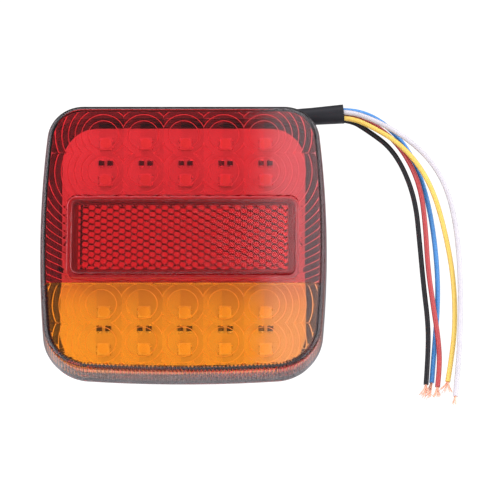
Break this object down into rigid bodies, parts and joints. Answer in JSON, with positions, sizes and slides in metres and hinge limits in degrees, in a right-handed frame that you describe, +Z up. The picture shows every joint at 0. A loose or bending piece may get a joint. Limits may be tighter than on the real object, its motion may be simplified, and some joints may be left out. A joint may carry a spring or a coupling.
{
  "type": "trailer tail light",
  "caption": "Square rear lamp for a trailer: red lens over amber lens, reflex reflector between, LED board inside, studs on the back and flying leads.",
  "frame": {"origin": "on the flat back of the housing, midway between the two mounting bolts", "axes": "+X to the right of the lamp seen from the front, +Y out of the back towards the panel, +Z up; the lenses face -Y"},
  "size_m": [0.1577, 0.0429, 0.1197],
  "materials": {
    "black_plastic": "moulded ABS, fine grain",
    "red_lens": "clear red acrylic, polished outside, optic rings inside",
    "amber_lens": "clear amber acrylic, polished outside, optic rings and flutes inside",
    "red_reflector": "red acrylic over corner prisms",
    "red_plastic": "moulded in solid red, matt",
    "black_rubber": "soft, matt",
    "white_board": "white solder mask",
    "zinc_steel": "bright zinc plate",
    "led_package": "white package with clear resin",
    "chip_black": "ceramic chip, black glaze",
    "solder": "bright solder",
    "copper": "fine bare copper strands",
    "black_sleeve": "PVC sleeve, satin",
    "blue_insulation": "PVC, satin",
    "white_insulation": "PVC, satin",
    "yellow_insulation": "PVC, satin",
    "red_insulation": "PVC, satin",
    "black_insulation": "PVC, satin"
  },
  "bodies": {
    "lamp": {"housing": "black_plastic", "lens_red": "red_lens", "lens_amber": "amber_lens", "reflex_reflector": "red_reflector", "reflector_tray": "red_plastic", "lens_seal": "black_rubber", "circuit_board": "white_board", "board_screws": "zinc_steel", "leds_red": "led_package", "leds_amber": "led_package", "resistors": "chip_black", "solder_joints": "solder", "inner_leads": "white_insulation", "cable_grommet": "black_rubber", "cable_sleeve": "black_sleeve", "wire_blue": "blue_insulation", "wire_white": "white_insulation", "wire_yellow": "yellow_insulation", "wire_red": "red_insulation", "wire_black": "black_insulation", "core_blue": "copper", "core_white": "copper", "core_yellow": "copper", "core_red": "copper", "core_black": "copper", "bolt_left": "zinc_steel", "bolt_right": "zinc_steel"},
    "washers_left": {"flat_washer_left": "zinc_steel", "spring_washer_left": "zinc_steel"},
    "nut_left": {"nut_left": "zinc_steel"},
    "washers_right": {"flat_washer_right": "zinc_steel", "spring_washer_right": "zinc_steel"},
    "nut_right": {"nut_right": "zinc_steel"}
  },
  "joints": [
    {"name": "nut_left_turn", "type": "hinge", "parent": "washers_left", "child": "nut_left", "pos_m": [-0.025, 0.0075, 0], "axis": [0, 1, 0], "range_deg": [0, 2880]},
    {"name": "nut_left_travel", "type": "slide", "parent": "lamp", "child": "washers_left", "axis": [0, 1, 0], "range_m": [0, 0.0064]},
    {"name": "nut_right_turn", "type": "hinge", "parent": "washers_right", "child": "nut_right", "pos_m": [0.025, 0.0075, 0], "axis": [0, 1, 0], "range_deg": [0, 2880]},
    {"name": "nut_right_travel", "type": "slide", "parent": "lamp", "child": "washers_right", "axis": [0, 1, 0], "range_m": [0, 0.0064]}
  ],
  "couplings": [
    {"joint": "nut_left_turn", "follows": "nut_left_travel", "rad_per_m": 7854},
    {"joint": "nut_right_turn", "follows": "nut_right_travel", "rad_per_m": 7854}
  ]
}
